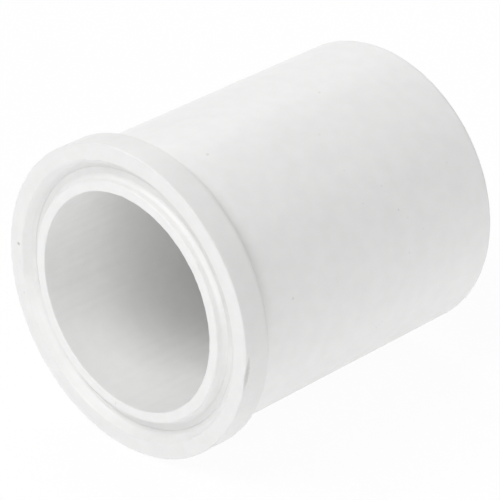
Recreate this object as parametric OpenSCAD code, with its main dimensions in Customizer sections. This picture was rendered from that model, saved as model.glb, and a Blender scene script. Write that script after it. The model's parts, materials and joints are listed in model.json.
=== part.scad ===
// Flanged union tailpiece in white PVC: a plain spigot of the larger pipe's
// size with a socket for the smaller pipe inside it, and at the union end a
// collar, a face-seal groove and a lip around the bore.
// The bore lies along +Y. The origin is the centre of the seal face, the
// spigot ends at +Y, and +Z is up as the fitting lies on its side.

/* [Pipe sizes] */
// Outside diameter of the larger pipe, which the spigot has too (mm)
spigot_d = 60.325; // [58:0.005:73]
// Outside diameter of the smaller pipe, which enters the socket (mm)
pipe_d = 48.26; // [38:0.01:49]
// Clearance between the smaller pipe and the socket, on the radius (mm)
socket_clear = 0.04; // [0.02:0.01:0.15]

/* [Barrel] */
// Length over all, from the seal face to the end of the spigot (mm)
length = 72.8; // [56:0.1:110]
// Depth of the socket, from the end of the spigot to the pipe stop (mm)
socket_depth = 31.75; // [24:0.05:40]
// How far the pipe stop stands in from the socket's wall (mm)
stop_ledge = 1.62; // [1.2:0.02:4]
// Lead-in chamfer at the socket's mouth (mm)
socket_lead = 1.2; // [0.4:0.1:2]
// Radius on the outer edge of the spigot's end (mm)
spigot_end_round = 1.4; // [0.3:0.1:2]

/* [Collar] */
// How far the collar stands out from the barrel (mm)
collar_step = 2.1; // [1.4:0.1:4]
// Thickness of the collar along the bore (mm)
collar_t = 6.35; // [4.5:0.05:12]
// Radius on the collar's outer edges (mm)
collar_edge_round = 0.3; // [0.1:0.05:0.6]

/* [Seal groove] */
// Width of the rim between the groove and the collar's edge (mm)
rim_w = 3.35; // [2.2:0.05:3.6]
// Depth of the groove below the rim and the lip (mm)
groove_depth = 2; // [1.2:0.1:2.8]
// Lean of the groove's outer wall (degrees)
groove_draft = 28; // [0:1:30]
// Width of the lip between the groove and the bore (mm)
lip_w = 2.2; // [1.4:0.1:3.5]
// Radius on the lip's crest towards the groove (mm)
lip_round = 0.4; // [0.1:0.05:0.8]
// Radius on the edges of the rim and of the bore (mm)
mouth_round = 0.25; // [0.1:0.05:0.5]

/* [Welded joints] */
// How far the collar's inward step laps the front of the barrel (mm)
nose_lap = 1.1; // [0.6:0.1:1.8]
// Length of the taper on which the collar seats (mm)
seat_taper = 1.2; // [0.6:0.1:1.6]
// Room for cement between the welded pieces, on the radius (mm)
weld_gap = 0.05; // [0.02:0.01:0.15]

/* [Hidden] */
$fn = 96;
// How far a cutter reaches past the face that it cuts
over = 1;
// What keeps a rounding's arc from ending in a sliver where it meets a wall
slack = 0.0002;

spigot_r = spigot_d / 2;
socket_r = pipe_d / 2 + socket_clear;
bore_r = socket_r - stop_ledge;
lip_r = bore_r + lip_w;
collar_r = spigot_r + collar_step;
rim_r = collar_r - rim_w;
// Radius at which the groove's leaning wall meets its floor
groove_floor_r = rim_r - groove_depth * tan(groove_draft);
// Radius of the seat in the collar that the barrel's nose fits
nose_seat_r = groove_floor_r + nose_lap;
// Where the pipe stops and the sleeve seats, seen from the seal face
stop_y = length - socket_depth;

// Turns a section about the bore. Its points are [radius, distance along the
// bore], and its angles run from the radius towards the spigot's end.
module turned() {
    rotate([-90, 0, 0])
        rotate_extrude()
            children();
}

// What a rounding takes off a corner of a section. The corner is at `at`, and
// its two edges leave it in the directions `a` and `b`, in degrees.
module rounding(at, r, a, b) {
    along_a = [cos(a), sin(a)];
    along_b = [cos(b), sin(b)];
    inside = acos(along_a * along_b);
    touch = r / tan(inside / 2);
    centre = at + (along_a + along_b) * r / sin(inside);
    difference() {
        polygon([
            centre,
            past(centre, at + along_a * touch),
            past(centre, at),
            past(centre, at + along_b * touch)
        ]);
        translate(centre)
            circle(r + slack);
    }
}

// The point that lies beyond q on the line from p
function past(p, q) = q + (q - p) * over / norm(q - p);

// The spigot and its socket. The reduced nose enters the collar, and the
// nose's front face is the floor of the seal groove.
module barrel() {
    nose_r = nose_seat_r - weld_gap;
    sleeve_seat_r = lip_r + weld_gap;
    color("whitesmoke")
        turned()
            difference() {
                polygon([
                    [sleeve_seat_r, groove_depth],
                    [nose_r, groove_depth],
                    [nose_r, collar_t - seat_taper],
                    [spigot_r, collar_t],
                    [spigot_r, length],
                    [socket_r, length],
                    [socket_r, stop_y],
                    [sleeve_seat_r, stop_y]
                ]);
                rounding([spigot_r, length], spigot_end_round, 180, 270);
                polygon([
                    [socket_r, length - socket_lead],
                    [socket_r + socket_lead + over, length + over],
                    [socket_r - over, length + over],
                    [socket_r - over, length - socket_lead]
                ]);
            }
}

// The ring that the nut pulls on. Its front rim is the outer seal land, and
// its inward step laps the barrel's nose and is the groove's outer wall.
module flange_collar() {
    color("white")
        turned()
            difference() {
                polygon([
                    [rim_r, 0],
                    [collar_r, 0],
                    [collar_r, collar_t],
                    [spigot_r + weld_gap, collar_t],
                    [nose_seat_r, collar_t - seat_taper],
                    [nose_seat_r, groove_depth],
                    [groove_floor_r, groove_depth]
                ]);
                rounding([rim_r, 0], mouth_round, 0, 90 + groove_draft);
                rounding([collar_r, 0], collar_edge_round, 90, 180);
                rounding([collar_r, collar_t], collar_edge_round, 180, 270);
            }
}

// The liner of the bore. Its front end stands up as the lip inside the seal
// groove, and its rear end is the pipe stop.
module bore_sleeve() {
    color("ghostwhite")
        turned()
            difference() {
                polygon([
                    [bore_r, 0],
                    [lip_r, 0],
                    [lip_r, stop_y],
                    [bore_r, stop_y]
                ]);
                rounding([bore_r, 0], mouth_round, 0, 90);
                rounding([lip_r, 0], lip_round, 90, 180);
                rounding([bore_r, stop_y], mouth_round, 270, 360);
            }
}

barrel();
flange_collar();
bore_sleeve();
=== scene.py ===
"""The finished surfaces of a flanged union tailpiece in white PVC, and a plain studio around it."""

import json
import math

import bmesh
import bpy
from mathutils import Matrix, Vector, noise


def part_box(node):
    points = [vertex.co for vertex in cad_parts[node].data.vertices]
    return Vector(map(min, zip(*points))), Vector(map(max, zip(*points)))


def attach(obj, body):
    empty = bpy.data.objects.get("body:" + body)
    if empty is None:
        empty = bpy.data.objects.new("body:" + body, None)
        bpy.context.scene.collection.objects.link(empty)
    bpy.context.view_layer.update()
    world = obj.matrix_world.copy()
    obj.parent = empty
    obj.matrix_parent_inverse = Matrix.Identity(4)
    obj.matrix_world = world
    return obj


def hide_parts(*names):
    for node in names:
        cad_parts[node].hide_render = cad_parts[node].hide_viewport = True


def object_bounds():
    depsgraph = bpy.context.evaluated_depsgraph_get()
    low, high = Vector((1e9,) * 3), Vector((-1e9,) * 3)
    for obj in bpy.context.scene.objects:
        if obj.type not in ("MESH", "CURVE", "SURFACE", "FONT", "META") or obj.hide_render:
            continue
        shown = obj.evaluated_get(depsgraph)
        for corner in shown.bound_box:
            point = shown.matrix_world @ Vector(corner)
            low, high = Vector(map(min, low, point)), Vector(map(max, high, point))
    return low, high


bl_info = {
    "name": "Flanged Union Tailpiece",
    "version": (1, 0, 0),
    "blender": (4, 5, 0),
    "location": "3D View > Sidebar > Tailpiece",
    "description": "Models a white PVC union tailpiece around its CAD frame, and lights it",
    "category": "Add Mesh",
}

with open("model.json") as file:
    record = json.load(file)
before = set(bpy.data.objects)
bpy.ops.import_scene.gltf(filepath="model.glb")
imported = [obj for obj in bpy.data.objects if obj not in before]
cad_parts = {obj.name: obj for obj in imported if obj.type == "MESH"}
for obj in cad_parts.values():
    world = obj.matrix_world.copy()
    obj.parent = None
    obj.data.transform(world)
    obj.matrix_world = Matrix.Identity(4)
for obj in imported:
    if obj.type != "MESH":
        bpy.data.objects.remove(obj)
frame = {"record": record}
CAD_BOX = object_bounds()

MM = 0.001


def mount_radius(name):
    """The radius of one of the part's round mounts, in metres."""
    found = next(m for m in frame["record"]["mounts"] if m["name"] == name)
    return found["dims"]["r_mm"] * MM


# What the frame fixes: radii about the bore, and distances along it from the seal face.
BORE_R = mount_radius("flow_bore")
SPIGOT_R = mount_radius("spigot")
SOCKET_R = mount_radius("socket")
LIP_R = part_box("bore_sleeve")[1].x
LIP_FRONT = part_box("bore_sleeve")[0].y
COLLAR_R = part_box("flange_collar")[1].x
COLLAR_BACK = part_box("flange_collar")[1].y
GROOVE_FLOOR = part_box("barrel")[0].y
PIPE_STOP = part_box("bore_sleeve")[1].y
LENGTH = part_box("barrel")[1].y
RESTS_ON = CAD_BOX[0].z


def length(name, description, default, **more):
    """A property that holds a length in metres."""
    return bpy.props.FloatProperty(
        name=name, description=description, default=default, min=0.0,
        precision=5, unit="LENGTH", **more,
    )


def colour(name, description, default):
    """A property that holds a linear colour."""
    return bpy.props.FloatVectorProperty(
        name=name, description=description, default=default, size=3,
        subtype="COLOR", min=0.0, max=1.0,
    )


def amount(name, description, default, low=0.0, high=1.0):
    """A property that holds a plain number."""
    return bpy.props.FloatProperty(
        name=name, description=description, default=default, min=low, max=high,
    )


class TAILPIECE_PG_sizes(bpy.types.PropertyGroup):
    """Sizes of the tailpiece that its CAD frame doesn't already fix"""

    rim_width: length("Rim width", "From the seal groove to the collar's edge", 3.35 * MM)
    groove_draft: bpy.props.FloatProperty(
        name="Groove draft", description="Lean of the groove's outer wall",
        default=math.radians(28), min=0.0, max=math.radians(30), subtype="ANGLE",
    )
    groove_fillet: length("Groove fillet", "Hollow radius at the foot of the groove's walls", 0.9 * MM)
    lip_round: length("Lip rounding", "On the lip's crest towards the groove", 0.4 * MM)
    mouth_round: length("Mouth rounding", "On the edges of the rim and the bore", 0.25 * MM)
    collar_round: length("Collar rounding", "On the collar's outer edges", 0.3 * MM)
    shoulder_fillet: length("Shoulder fillet", "Hollow radius where the collar meets the barrel", 0.4 * MM)
    end_round: length("End rounding", "On the outer edge of the spigot's end", 1.4 * MM)
    socket_lead: length("Socket lead", "Chamfer at the mouth of the socket", 1.2 * MM)
    lead_round: length("Lead rounding", "On both edges of the socket's chamfer", 0.3 * MM)
    weld_gap: length("Weld gap", "Room for cement between the pieces, on the radius", 0.05 * MM)
    seat_taper: length("Seat taper", "Length of the cone on which the collar seats", 1.2 * MM)
    nose_lap: length("Nose lap", "How far the collar's step laps the barrel's nose", 1.1 * MM)
    edge_wear: length("Edge wear", "Most that handling has taken off the edges", 0.09 * MM)
    scar_depth: length("Scar depth", "Depth of the scar that the mould's gate left", 0.2 * MM)


class TAILPIECE_PG_finish(bpy.types.PropertyGroup):
    """Colours and surface of the plastic"""

    barrel_colour: colour("Barrel", "Plastic of the barrel", (0.853, 0.853, 0.848))
    collar_colour: colour("Collar", "Plastic of the collar", (0.845, 0.845, 0.84))
    sleeve_colour: colour("Bore sleeve", "Plastic of the bore sleeve", (0.867, 0.867, 0.862))
    # Grains and scar marks take this colour, and so do the painted shade and shadow behind the collar and in
    # the bore.
    grain_and_shade_colour: colour("Grains and shade", "Dark grains in the plastic, and the painted shade in its creases and bore", (0.2, 0.19, 0.17))
    clouding: amount("Clouding", "How far the plastic's own colour drifts", 0.018, high=0.1)
    # Painted shade right behind the collar, where the crease is dark.
    close_shade: amount("Crease shade", "How dark the painted shade right behind the collar is", 0.05)
    # Painted shadow on one side of the crease behind the collar.
    side_shadow: amount("Side shadow", "How dark the painted shadow on one side of that crease is", 0.15)
    # Painted shade that deepens along the bore towards the pipe stop.
    bore_shade: amount("Bore shade", "How dark the painted shade inside the bore is at the pipe stop", 0.13)
    # Painted shade on the collar's outer side.
    collar_side_shade: amount("Collar side shade", "How dark the painted shade on the collar's side is", 0.05)
    roughness_low: amount("Least roughness", "Roughness of the glossiest patches", 0.36)
    roughness_high: amount("Most roughness", "Roughness of the dullest patches", 0.48)
    grain_height: length("Grain height", "Height of the moulded skin's fine grain", 0.007 * MM)
    swell_height: length("Swell height", "Height of the slow unevenness of the skin", 0.025 * MM)


class TAILPIECE_PG_studio(bpy.types.PropertyGroup):
    """Camera and light"""

    azimuth: bpy.props.FloatProperty(
        name="Azimuth", description="Direction from which the camera looks, round the part",
        default=math.radians(44.033), subtype="ANGLE",
    )
    elevation: bpy.props.FloatProperty(
        name="Elevation", description="Height of the camera above the horizon",
        default=math.radians(27.758), subtype="ANGLE",
    )
    aim: bpy.props.FloatVectorProperty(
        name="Aim", description="Point that the camera looks at", size=3,
        default=(13.932 * MM, 20.039 * MM, 8.975 * MM), subtype="XYZ", unit="LENGTH", precision=5,
    )
    distance: length("Distance", "From the camera to the point that it looks at", 691.37 * MM)
    lens: bpy.props.FloatProperty(
        name="Lens", description="Focal length", default=260.25, min=20.0, unit="CAMERA",
    )
    ambient: amount("Ambient", "Strength of the even light from all round", 0.07, high=4.0)
    lamps: amount("Lamps", "Scales the power of all the soft boxes together", 1.0, high=4.0)
    lamp_size: length("Lamp size", "Width of each soft box", 1.5)
    lamp_reach: length("Lamp reach", "From each soft box to the part", 3.0)


# Modelling

# How far from an edge its wear goes, how many lumps the wear has in a metre, and how worn the
# edge is on average, as a share of the most.
WEAR_REACH = 0.5 * MM
WEAR_PER_METRE = 900.0
WEAR_MEAN = 0.3


def round_corner(bm, corner, radius, segments):
    """Turns one corner of a flat section into an arc of that radius."""
    to_previous, to_next = (edge.other_vert(corner).co - corner.co for edge in corner.link_edges)
    reach = radius / math.tan(to_previous.angle(to_next) / 2)
    bmesh.ops.bevel(
        bm, geom=[corner], offset=reach, offset_type="OFFSET", affect="VERTICES",
        segments=segments, profile=0.5, material=-1,
    )


def hold_runs(bm, hold):
    """Puts a point close to both ends of each straight run, which smooth shading then leaves straight."""
    for edge in [e for e in bm.edges if e.calc_length() > 4 * hold]:
        for end in edge.verts[:]:
            bmesh.utils.edge_split(edge, end, hold / edge.calc_length())


def turned_shell(corners, steps=480, segments=8, hold=0.12 * MM):
    """A closed shell made by turning a section about the bore. A corner is (radius, along, rounding)."""
    bm = bmesh.new()
    points = [bm.verts.new((radius, along, 0)) for radius, along, _ in corners]
    bm.faces.new(points)
    for point, (_, _, rounding) in zip(points, corners):
        if rounding:
            round_corner(bm, point, rounding, segments)
    hold_runs(bm, hold)
    bmesh.ops.delete(bm, geom=bm.faces[:], context="FACES_ONLY")
    bmesh.ops.spin(
        bm, geom=bm.verts[:] + bm.edges[:], cent=(0, 0, 0), axis=(0, 1, 0),
        angle=math.tau, steps=steps, use_merge=True,
    )
    bmesh.ops.recalc_face_normals(bm, faces=bm.faces[:])
    return bm


def wear_edges(bm, edges, most):
    """Rubs a little off sharp edges, more here and less there. An edge is (radius, along)."""
    bm.normal_update()
    for vert in bm.verts:
        radius = math.hypot(vert.co.x, vert.co.z)
        away = min(math.hypot(radius - edge_radius, vert.co.y - along) for edge_radius, along in edges)
        nearness = max(0.0, 1 - away / WEAR_REACH)
        rub = max(0.0, WEAR_MEAN + noise.noise(vert.co * WEAR_PER_METRE))
        vert.co -= vert.normal * most * nearness * rub


def press_hollows(bm, marks, depth):
    """Sinks a shell towards the bore's axis under each mark on its outside, most at the mark's heart."""
    hearts = [
        (on_surface(turn, along, radius), MARK_REACH * width * MM)
        for turn, along, radius, width, _ in marks
    ]
    for vert in bm.verts:
        spared = math.prod(min(1, ((vert.co - heart).length / reach) ** 2) for heart, reach in hearts)
        if spared < 1:
            share = 1 - depth * (1 - spared) / COLLAR_R
            vert.co.x *= share
            vert.co.z *= share


def add_piece(bm, name, node, material):
    """Makes a piece of a finished bmesh, in place of the CAD node whose looks it gives."""
    mesh = bpy.data.meshes.new(name)
    bm.to_mesh(mesh)
    bm.free()
    mesh.shade_smooth()
    mesh.materials.append(material)
    piece = bpy.data.objects.new(name, mesh)
    bpy.context.scene.collection.objects.link(piece)
    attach(piece, "root")
    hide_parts(node)
    return piece


def groove_wall_radius(sizes, depth):
    """Radius of the groove's leaning outer wall at a depth below the seal face."""
    return COLLAR_R - sizes.rim_width - depth * math.tan(sizes.groove_draft)


def nose_seat_radius(sizes):
    """Radius of the seat in the collar that the barrel's nose fits."""
    return groove_wall_radius(sizes, GROOVE_FLOOR) + sizes.nose_lap


# Materials

# Dark grains in the barrel's outside: turn round the bore from +X towards +Z in degrees,
# distance along the bore in mm, width in mm, and strength.
GRAINS = (
    (74.9, 14.8, 0.8, 0.2),
    (11.6, 15.5, 0.7, 0.2),
    (62.6, 39.3, 0.6, 0.13),
    (45.9, 38.8, 0.5, 0.09),
    (32.1, 39.2, 0.55, 0.13),
    (35.0, 45.4, 0.5, 0.14),
    (24.2, 47.3, 0.55, 0.2),
    (7.0, 48.0, 0.55, 0.14),
    (80.1, 48.6, 0.65, 0.18),
    (20.1, 49.1, 0.7, 0.08),
    (13.4, 52.7, 0.6, 0.09),
    (32.3, 63.5, 0.6, 0.08),
    (-17.0, 38.9, 0.4, 0.14),
    (-19.0, 39.8, 0.4, 0.14),
    (-20.9, 40.8, 0.45, 0.16),
    (-20.0, 41.5, 0.4, 0.12),
    (-19.0, 42.1, 0.4, 0.12),
)
# Marks are the same with the radius, in mm, before the width.
BARREL_MARKS = tuple((turn, along, SPIGOT_R / MM, width, strength) for turn, along, width, strength in GRAINS)
# How wide a mark's heart is, and how far the mark reaches from it, as shares of its width.
MARK_HEART = 0.15
MARK_REACH = 0.6
# The scar's marks lie in the hollow, so their radius is less than the collar's.
SCAR_R = COLLAR_R / MM - 0.2
SCAR_STEPS = 18
# The rows of points that the collar's side needs under the scar.
SCAR_ROWS_FROM = 0.4 * MM
SCAR_ROW = 0.1 * MM


def scar_mark(step):
    """One of the overlapping marks down the gate scar, which runs into the collar's front edge."""
    swell = math.sin(math.pi * (step + 1) / (SCAR_STEPS + 1))
    along = 0.95 - 0.6 * step / SCAR_STEPS
    return (0.5 - 0.75 * step, along, SCAR_R, 0.6 + 0.7 * swell, 0.08 + 0.26 * swell)


SCAR_MARKS = tuple(scar_mark(step) for step in range(SCAR_STEPS))
COLLAR_MARKS = (
    (176.2, 0.0, 29.85, 0.9, 0.5),
    (196.5, 0.0, 29.85, 0.6, 0.16),
    (-5.0, 6.3, COLLAR_R / MM, 0.6, 0.12),
    (13.7, 6.3, COLLAR_R / MM, 0.5, 0.14),
    *SCAR_MARKS,
)
SLEEVE_MARKS = (
    (262.4, 0.0, 23.7, 0.6, 0.14),
    (-59.4, 3.3, BORE_R / MM, 0.6, 0.16),
)
# The plastic's patterns, as lumps in a metre.
CLOUDS = 300.0
STREAKS = 1100.0
SHEEN_PATCHES = 420.0
GRAIN = 3000.0
SWELL = 90.0
FRAYING = 2500.0
PVC_IOR = 1.53
# How much longer than wide a flow streak is, and its share in the drift of the colour.
STREAK_STRETCH = (1, 0.08, 1)
STREAK_SHARE = 0.12
# How far fraying moves the outline of a mark, from end to end.
FRAY_REACH = 0.35 * MM
# The side of the crease on which a shadow is painted, and the cosines between which it fades in.
SHADOW_TURN = 35.0
SHADOW_FROM = 0.75
# How far that painted shadow reaches over the barrel and over the collar.
SHADOW_ON_BARREL = 4.2 * MM
SHADOW_ON_COLLAR = -1.1 * MM
# How far the painted dark shade reaches behind the collar.
CLOSE_SHADE_REACH = 0.7 * MM
# How far below the collar's side its painted shade is full, and how far below it ends.
SIDE_SHADE_FULL = 0.1 * MM
SIDE_SHADE_ENDS = 0.35 * MM
# Where the painted shade inside the bore begins, from the seal face; it is darkest at the pipe stop.
BORE_SHADE_STARTS = 8 * MM


def add_node(tree, kind, inputs=None, **settings):
    """A new shader node. Its inputs are values, or sockets to link from."""
    made = tree.nodes.new("ShaderNode" + kind)
    for name, value in settings.items():
        setattr(made, name, value)
    for key, value in (inputs or {}).items():
        if isinstance(value, bpy.types.NodeSocket):
            tree.links.new(value, made.inputs[key])
        else:
            made.inputs[key].default_value = value
    return made


def on_surface(turn, along, radius):
    """A point from its angle round the bore in degrees, its distance along it in mm and its radius in mm."""
    angle = math.radians(turn)
    return Vector((radius * math.cos(angle), along, radius * math.sin(angle))) * MM


def speck_mask(tree, place, marks):
    """Each mark's strength at its heart, and 0 away from the marks."""
    mask = None
    for turn, along, radius, width, strength in marks:
        heart = on_surface(turn, along, radius)
        away = add_node(tree, "VectorMath", {0: place, 1: heart}, operation="DISTANCE")
        dot = add_node(tree, "MapRange", {
            "Value": away.outputs["Value"], "To Min": strength, "To Max": 0.0,
            "From Min": MARK_HEART * width * MM, "From Max": MARK_REACH * width * MM,
        }, interpolation_type="SMOOTHSTEP")
        joined = dot.outputs[0]
        if mask is not None:
            joined = add_node(tree, "Math", {0: mask, 1: joined}, operation="MAXIMUM").outputs[0]
        mask = joined
    return mask


def noise_at(tree, place, scale, detail=2.0, stretch=(1, 1, 1)):
    """A soft random value from 0 to 1, drawn out along an axis where stretch is below 1."""
    if stretch != (1, 1, 1):
        place = add_node(tree, "Mapping", {"Vector": place, "Scale": stretch}).outputs[0]
    return add_node(tree, "TexNoise", {"Vector": place, "Scale": scale, "Detail": detail}).outputs["Fac"]


def fade(tree, value, start, end, strength):
    """strength where the value is at start, falling softly to 0 where it is at end."""
    return add_node(tree, "MapRange", {
        "Value": value, "From Min": start, "From Max": end, "To Min": strength, "To Max": 0.0,
    }, interpolation_type="SMOOTHSTEP").outputs[0]


def paint_crease_shade(tree, place, finish, shade_reach):
    """Painted shade in the crease behind the collar, a painted shadow on one side of that crease, and painted
    shade on the collar's side.
    """
    along = add_node(tree, "SeparateXYZ", {0: place}).outputs["Y"]
    across = add_node(tree, "VectorMath", {0: place, 1: (1, 0, 1)}, operation="MULTIPLY").outputs[0]
    radius = add_node(tree, "VectorMath", {0: across}, operation="LENGTH").outputs["Value"]
    # A painted shadow on one side of the crease, fading round the bore and away from the collar's back.
    facing = add_node(tree, "VectorMath", {0: across}, operation="NORMALIZE").outputs[0]
    toward = on_surface(SHADOW_TURN, 0, 1) / MM
    share = add_node(tree, "VectorMath", {0: facing, 1: toward}, operation="DOT_PRODUCT").outputs["Value"]
    share = fade(tree, share, 1.0, SHADOW_FROM, 1.0)
    spread = fade(tree, along, COLLAR_BACK, COLLAR_BACK + shade_reach, finish.side_shadow)
    spread = add_node(tree, "Math", {0: spread, 1: share}, operation="MULTIPLY").outputs[0]
    # Painted dark shade close behind the collar.
    behind = add_node(tree, "Math", {0: along, 1: COLLAR_BACK - 0.1 * MM}, operation="GREATER_THAN")
    close = fade(tree, along, COLLAR_BACK, COLLAR_BACK + CLOSE_SHADE_REACH, finish.close_shade)
    close = add_node(tree, "Math", {0: close, 1: behind.outputs[0]}, operation="MULTIPLY").outputs[0]
    # Painted shade all round the collar's outer side.
    side_shade = fade(tree, radius, COLLAR_R - SIDE_SHADE_FULL, COLLAR_R - SIDE_SHADE_ENDS, finish.collar_side_shade)
    painted_shade = add_node(tree, "Math", {0: spread, 1: close}, operation="MAXIMUM").outputs[0]
    return add_node(tree, "Math", {0: painted_shade, 1: side_shade}, operation="ADD").outputs[0]


def moulded_pvc(name, base, finish, marks, shade_reach=None, paints_bore_shade=False):
    """Satin moulded plastic: a faintly clouded colour with grains and painted shade in it, under a
    fine-grained skin.

    The reach, when given, is how far the painted shadow in the crease behind the collar spreads over this
    piece, and the bore flag gives it the painted shade that deepens along the bore.
    """
    material = bpy.data.materials.new(name)
    material.use_nodes = True
    tree = material.node_tree
    shader = tree.nodes["Principled BSDF"]
    place = add_node(tree, "TexCoord").outputs["Object"]

    # The colour drifts slowly, and in thin streaks along the way the plastic flowed.
    cloud = noise_at(tree, place, CLOUDS, 5.0)
    streak = noise_at(tree, place, STREAKS, stretch=STREAK_STRETCH)
    drift = add_node(tree, "Math", {0: streak, 1: STREAK_SHARE, 2: cloud}, operation="MULTIPLY_ADD")
    drift = add_node(tree, "MapRange", {"Value": drift.outputs[0], "From Min": 0.35, "From Max": 0.77})
    dull = [channel * (1 - finish.clouding) for channel in base]
    clean = [min(1.0, channel * (1 + finish.clouding)) for channel in base]
    plastic = add_node(tree, "Mix", {
        "A": (*dull, 1), "B": (*clean, 1), 0: drift.outputs[0],
    }, data_type="RGBA")

    # Grains are moulded in.
    frayed = add_node(tree, "TexNoise", {"Vector": place, "Scale": FRAYING, "Detail": 1.0}).outputs["Color"]
    shift = add_node(tree, "VectorMath", {0: frayed, 1: (0.5, 0.5, 0.5)}, operation="SUBTRACT")
    shift = add_node(tree, "VectorMath", {0: shift.outputs[0], "Scale": FRAY_REACH}, operation="SCALE")
    moved = add_node(tree, "VectorMath", {0: place, 1: shift.outputs[0]}, operation="ADD")
    specks_and_shade = speck_mask(tree, moved.outputs[0], marks)
    # Painted shade and shadow round the crease behind the collar.
    if shade_reach is not None:
        painted_shade = paint_crease_shade(tree, place, finish, shade_reach)
        specks_and_shade = add_node(tree, "Math", {0: specks_and_shade, 1: painted_shade}, operation="MAXIMUM").outputs[0]
    # Painted shade inside the bore, darkest at the pipe stop.
    if paints_bore_shade:
        along = add_node(tree, "SeparateXYZ", {0: place}).outputs["Y"]
        cement_film_and_bore_shade = fade(tree, along, PIPE_STOP, BORE_SHADE_STARTS, finish.bore_shade)
        specks_and_shade = add_node(tree, "Math", {0: specks_and_shade, 1: cement_film_and_bore_shade}, operation="MAXIMUM").outputs[0]
    # The grains and marks, and the painted shade, mix in the dark colour.
    specked_and_shaded = add_node(tree, "Mix", {
        "A": plastic.outputs["Result"], "B": (*finish.grain_and_shade_colour, 1), 0: specks_and_shade,
    }, data_type="RGBA")

    # The skin: a fine grain on a slow unevenness, and patches that shine a little more.
    sheen = noise_at(tree, place, SHEEN_PATCHES, 3.0)
    rough = add_node(tree, "MapRange", {
        "Value": sheen, "From Min": 0.3, "From Max": 0.7,
        "To Min": finish.roughness_low, "To Max": finish.roughness_high,
    })
    grain = noise_at(tree, place, GRAIN)
    swell = noise_at(tree, place, SWELL, 1.0)
    bumped = add_node(tree, "Bump", {"Height": swell, "Distance": finish.swell_height, "Strength": 1.0})
    bumped = add_node(tree, "Bump", {
        "Height": grain, "Distance": finish.grain_height, "Strength": 1.0, "Normal": bumped.outputs[0],
    })
    tree.links.new(specked_and_shaded.outputs["Result"], shader.inputs["Base Color"])
    tree.links.new(rough.outputs[0], shader.inputs["Roughness"])
    tree.links.new(bumped.outputs[0], shader.inputs["Normal"])
    shader.inputs["IOR"].default_value = PVC_IOR
    return material


# Operators


class TAILPIECE_OT_barrel(bpy.types.Operator):
    """Model the barrel: the spigot, with the socket inside it and the nose that carries the collar"""

    bl_idname = "tailpiece.barrel"
    bl_label = "Barrel"

    def execute(self, context):
        sizes, finish = context.scene.tailpiece_sizes, context.scene.tailpiece_finish
        nose_r = nose_seat_radius(sizes) - sizes.weld_gap
        sleeve_seat_r = LIP_R + sizes.weld_gap
        bm = turned_shell([
            (sleeve_seat_r, GROOVE_FLOOR, 0),
            (nose_r, GROOVE_FLOOR, 0),
            (nose_r, COLLAR_BACK - sizes.seat_taper, 0),
            (SPIGOT_R, COLLAR_BACK, 0),
            (SPIGOT_R, LENGTH, sizes.end_round),
            (SOCKET_R + sizes.socket_lead, LENGTH, sizes.lead_round),
            (SOCKET_R, LENGTH - sizes.socket_lead, sizes.lead_round),
            (SOCKET_R, PIPE_STOP, 0),
            (sleeve_seat_r, PIPE_STOP, 0),
        ])
        wear_edges(bm, [(SPIGOT_R, LENGTH), (SOCKET_R + sizes.socket_lead, LENGTH)], sizes.edge_wear)
        material = moulded_pvc("barrel_pvc", finish.barrel_colour, finish, BARREL_MARKS, SHADOW_ON_BARREL)
        add_piece(bm, "barrel_shell", "barrel", material)
        return {"FINISHED"}


class TAILPIECE_OT_collar(bpy.types.Operator):
    """Model the collar: the outer seal land, the groove's outer wall and the shoulder for the nut"""

    bl_idname = "tailpiece.collar"
    bl_label = "Collar"

    def execute(self, context):
        sizes, finish = context.scene.tailpiece_sizes, context.scene.tailpiece_finish
        cement_film_and_bore_shade = sizes.weld_gap
        floor = GROOVE_FLOOR - cement_film_and_bore_shade
        foot_r = groove_wall_radius(sizes, floor)
        toe_r = foot_r - sizes.groove_fillet - cement_film_and_bore_shade
        heel = COLLAR_BACK + sizes.shoulder_fillet + cement_film_and_bore_shade
        seat_r = nose_seat_radius(sizes)
        bm = turned_shell([
            (COLLAR_R - sizes.rim_width, 0, sizes.mouth_round),
            (COLLAR_R, 0, sizes.collar_round),
            *((COLLAR_R, SCAR_ROWS_FROM + SCAR_ROW * row, 0) for row in range(10)),
            (COLLAR_R, COLLAR_BACK, sizes.collar_round),
            (SPIGOT_R + cement_film_and_bore_shade, COLLAR_BACK, sizes.shoulder_fillet),
            (SPIGOT_R + cement_film_and_bore_shade, heel, 0),
            (SPIGOT_R, heel, 0),
            (SPIGOT_R, COLLAR_BACK, 0),
            (seat_r, COLLAR_BACK - sizes.seat_taper, 0),
            (seat_r, GROOVE_FLOOR, 0),
            (toe_r, GROOVE_FLOOR, 0),
            (toe_r, floor, 0),
            (foot_r, floor, sizes.groove_fillet),
        ])
        rim_r = COLLAR_R - sizes.rim_width
        wear_edges(bm, [(rim_r, 0), (COLLAR_R, 0), (COLLAR_R, COLLAR_BACK)], sizes.edge_wear)
        press_hollows(bm, SCAR_MARKS, sizes.scar_depth)
        material = moulded_pvc("collar_pvc", finish.collar_colour, finish, COLLAR_MARKS, SHADOW_ON_COLLAR)
        add_piece(bm, "seal_collar", "flange_collar", material)
        return {"FINISHED"}


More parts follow.
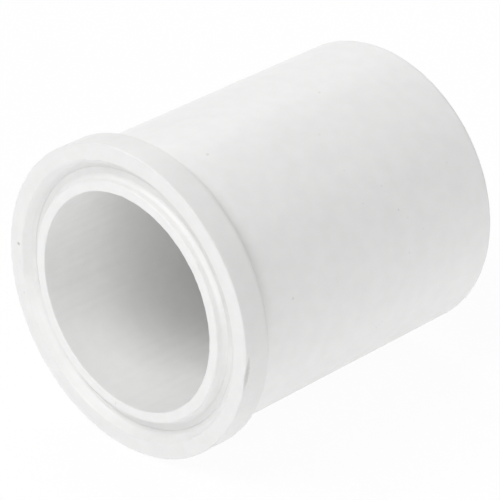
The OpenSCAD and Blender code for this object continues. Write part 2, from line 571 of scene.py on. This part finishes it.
class TAILPIECE_OT_sleeve(bpy.types.Operator):
    """Model the bore sleeve: the liner of the bore, the lip at its front and the pipe stop at its back"""

    bl_idname = "tailpiece.sleeve"
    bl_label = "Bore sleeve"

    def execute(self, context):
        sizes, finish = context.scene.tailpiece_sizes, context.scene.tailpiece_finish
        cement_film_and_bore_shade = sizes.weld_gap
        floor = GROOVE_FLOOR - cement_film_and_bore_shade
        toe_r = LIP_R + sizes.groove_fillet + cement_film_and_bore_shade
        bm = turned_shell([
            (BORE_R, LIP_FRONT, sizes.mouth_round),
            (LIP_R, LIP_FRONT, sizes.lip_round),
            (LIP_R, floor, sizes.groove_fillet),
            (toe_r, floor, 0),
            (toe_r, GROOVE_FLOOR, 0),
            (LIP_R, GROOVE_FLOOR, 0),
            (LIP_R, PIPE_STOP, 0),
            (BORE_R, PIPE_STOP, sizes.mouth_round),
        ])
        wear_edges(bm, [(BORE_R, LIP_FRONT), (LIP_R, LIP_FRONT), (BORE_R, PIPE_STOP)], sizes.edge_wear)
        # The bore sleeve gets painted shade that deepens towards the pipe stop.
        material = moulded_pvc("sleeve_pvc", finish.sleeve_colour, finish, SLEEVE_MARKS, paints_bore_shade=True)
        add_piece(bm, "bore_sleeve_liner", "bore_sleeve", material)
        return {"FINISHED"}


class TAILPIECE_OT_studio(bpy.types.Operator):
    """Set up the floor, the light and the camera"""

    bl_idname = "tailpiece.studio"
    bl_label = "Studio"

    def execute(self, context):
        studio = context.scene.tailpiece_studio
        add_floor()
        add_world(studio.ambient)
        for lamp in LAMPS:
            add_lamp(studio, *lamp)
        add_camera(studio)
        context.scene.view_settings.view_transform = "Standard"
        return {"FINISHED"}


def white_to_the_camera(tree):
    """A socket that is 1 where the camera, a gloss or a transmission ray sees a surface directly."""
    path = add_node(tree, "LightPath").outputs
    seen = add_node(tree, "Math", {0: path["Is Camera Ray"], 1: path["Is Glossy Ray"]}, operation="MAXIMUM")
    seen = add_node(tree, "Math", {0: seen.outputs[0], 1: path["Is Transmission Ray"]}, operation="MAXIMUM")
    return seen.outputs[0]


def add_world(ambient):
    """Even light from all round, with a white background."""
    world = bpy.data.worlds.new("studio_air")
    bpy.context.scene.world = world
    world.use_nodes = True
    tree = world.node_tree
    tree.nodes.clear()
    light = add_node(tree, "Background", {"Color": (1, 1, 1, 1), "Strength": ambient})
    backdrop = add_node(tree, "Background", {"Color": (1, 1, 1, 1), "Strength": 1.0})
    mixed = add_node(tree, "MixShader", {
        0: white_to_the_camera(tree), 1: light.outputs[0], 2: backdrop.outputs[0],
    })
    add_node(tree, "OutputWorld", {"Surface": mixed.outputs[0]})


# Soft boxes round the part: name, azimuth and elevation in degrees, watts.
LAMPS = (
    ("key", 330, 50, 24.3),
    ("right_fill", 60, 10, 19.3),
    ("rear", 240, 50, 29.1),
    ("top", 0, 70, 12.8),
    ("front", 0, 50, 18.8),
    ("right_rear", 120, 50, 13.0),
)


def add_lamp(studio, name, azimuth, elevation, watts):
    """A round soft box that faces the middle of the part."""
    flat = Vector((math.sin(math.radians(azimuth)), -math.cos(math.radians(azimuth)), 0))
    up = math.radians(elevation)
    away = flat * math.cos(up) + Vector((0, 0, math.sin(up)))
    data = bpy.data.lights.new(name, "AREA")
    data.shape = "DISK"
    data.size = studio.lamp_size
    data.energy = watts * studio.lamps
    lamp = bpy.data.objects.new(name, data)
    bpy.context.scene.collection.objects.link(lamp)
    lamp.location = Vector((0, LENGTH / 2, 0)) + away * studio.lamp_reach
    lamp.rotation_euler = (-away).to_track_quat("-Z", "Y").to_euler()


FLOOR_HALF = 8.0
FLOOR_GREY = 0.92
FLOOR_GLOW = 0.27
SHADOW_SHARE = 0.06


def add_floor():
    """A white light table that keeps a trace of the part's shadow."""
    bm = bmesh.new()
    bmesh.ops.create_grid(bm, x_segments=1, y_segments=1, size=FLOOR_HALF)
    bmesh.ops.translate(bm, verts=bm.verts[:], vec=(0, 0, RESTS_ON))
    mesh = bpy.data.meshes.new("studio_floor")
    bm.to_mesh(mesh)
    bm.free()
    floor = bpy.data.objects.new("studio_floor", mesh)
    bpy.context.scene.collection.objects.link(floor)
    material = bpy.data.materials.new("floor_white")
    material.use_nodes = True
    tree = material.node_tree
    tree.nodes.clear()
    paper = add_node(tree, "BsdfDiffuse", {"Color": (FLOOR_GREY, FLOOR_GREY, FLOOR_GREY, 1)})
    under = add_node(tree, "Emission", {"Color": (1, 1, 1, 1), "Strength": FLOOR_GLOW})
    paper = add_node(tree, "AddShader", {0: paper.outputs[0], 1: under.outputs[0]})
    shaded = add_node(tree, "BsdfDiffuse", {"Color": (SHADOW_SHARE, SHADOW_SHARE, SHADOW_SHARE, 1)})
    glow = add_node(tree, "Emission", {"Color": (1, 1, 1, 1), "Strength": 1 - SHADOW_SHARE})
    seen = add_node(tree, "AddShader", {0: shaded.outputs[0], 1: glow.outputs[0]})
    mixed = add_node(tree, "MixShader", {
        0: white_to_the_camera(tree), 1: paper.outputs[0], 2: seen.outputs[0],
    })
    add_node(tree, "OutputMaterial", {"Surface": mixed.outputs[0]})
    mesh.materials.append(material)


SENSOR_WIDTH = 36.0


def add_camera(studio):
    """Looks at a point ahead of the seal face, from the front right and above."""
    flat = Vector((math.sin(studio.azimuth), -math.cos(studio.azimuth), 0))
    back = flat * math.cos(studio.elevation) + Vector((0, 0, math.sin(studio.elevation)))
    data = bpy.data.cameras.new("studio_camera")
    data.lens = studio.lens
    data.sensor_width = SENSOR_WIDTH
    camera = bpy.data.objects.new("studio_camera", data)
    bpy.context.scene.collection.objects.link(camera)
    camera.location = Vector(studio.aim) + back * studio.distance
    camera.rotation_euler = (-back).to_track_quat("-Z", "Y").to_euler()
    bpy.context.scene.camera = camera


class TAILPIECE_PT_panel(bpy.types.Panel):
    """Lists the pieces and the studio"""

    bl_idname = "TAILPIECE_PT_panel"
    bl_label = "Tailpiece"
    bl_space_type = "VIEW_3D"
    bl_region_type = "UI"
    bl_category = "Tailpiece"

    def draw(self, context):
        for group in (getattr(context.scene, name) for name in GROUPS):
            box = self.layout.box()
            for name in group.bl_rna.properties.keys():
                if name not in ("rna_type", "name"):
                    box.prop(group, name)
        for operator in OPERATORS:
            self.layout.operator(operator.bl_idname)


GROUPS = {
    "tailpiece_sizes": TAILPIECE_PG_sizes,
    "tailpiece_finish": TAILPIECE_PG_finish,
    "tailpiece_studio": TAILPIECE_PG_studio,
}
OPERATORS = (TAILPIECE_OT_barrel, TAILPIECE_OT_collar, TAILPIECE_OT_sleeve, TAILPIECE_OT_studio)
CLASSES = (*GROUPS.values(), *OPERATORS, TAILPIECE_PT_panel)


def register():
    for made in CLASSES:
        bpy.utils.register_class(made)
    for name, group in GROUPS.items():
        setattr(bpy.types.Scene, name, bpy.props.PointerProperty(type=group))


def unregister():
    for name in GROUPS:
        delattr(bpy.types.Scene, name)
    for made in reversed(CLASSES):
        bpy.utils.unregister_class(made)


def main():
    """Makes the pieces and the studio."""
    register()
    bpy.ops.tailpiece.barrel()
    bpy.ops.tailpiece.collar()
    bpy.ops.tailpiece.sleeve()
    bpy.ops.tailpiece.studio()


if __name__ == "__main__":
    main()
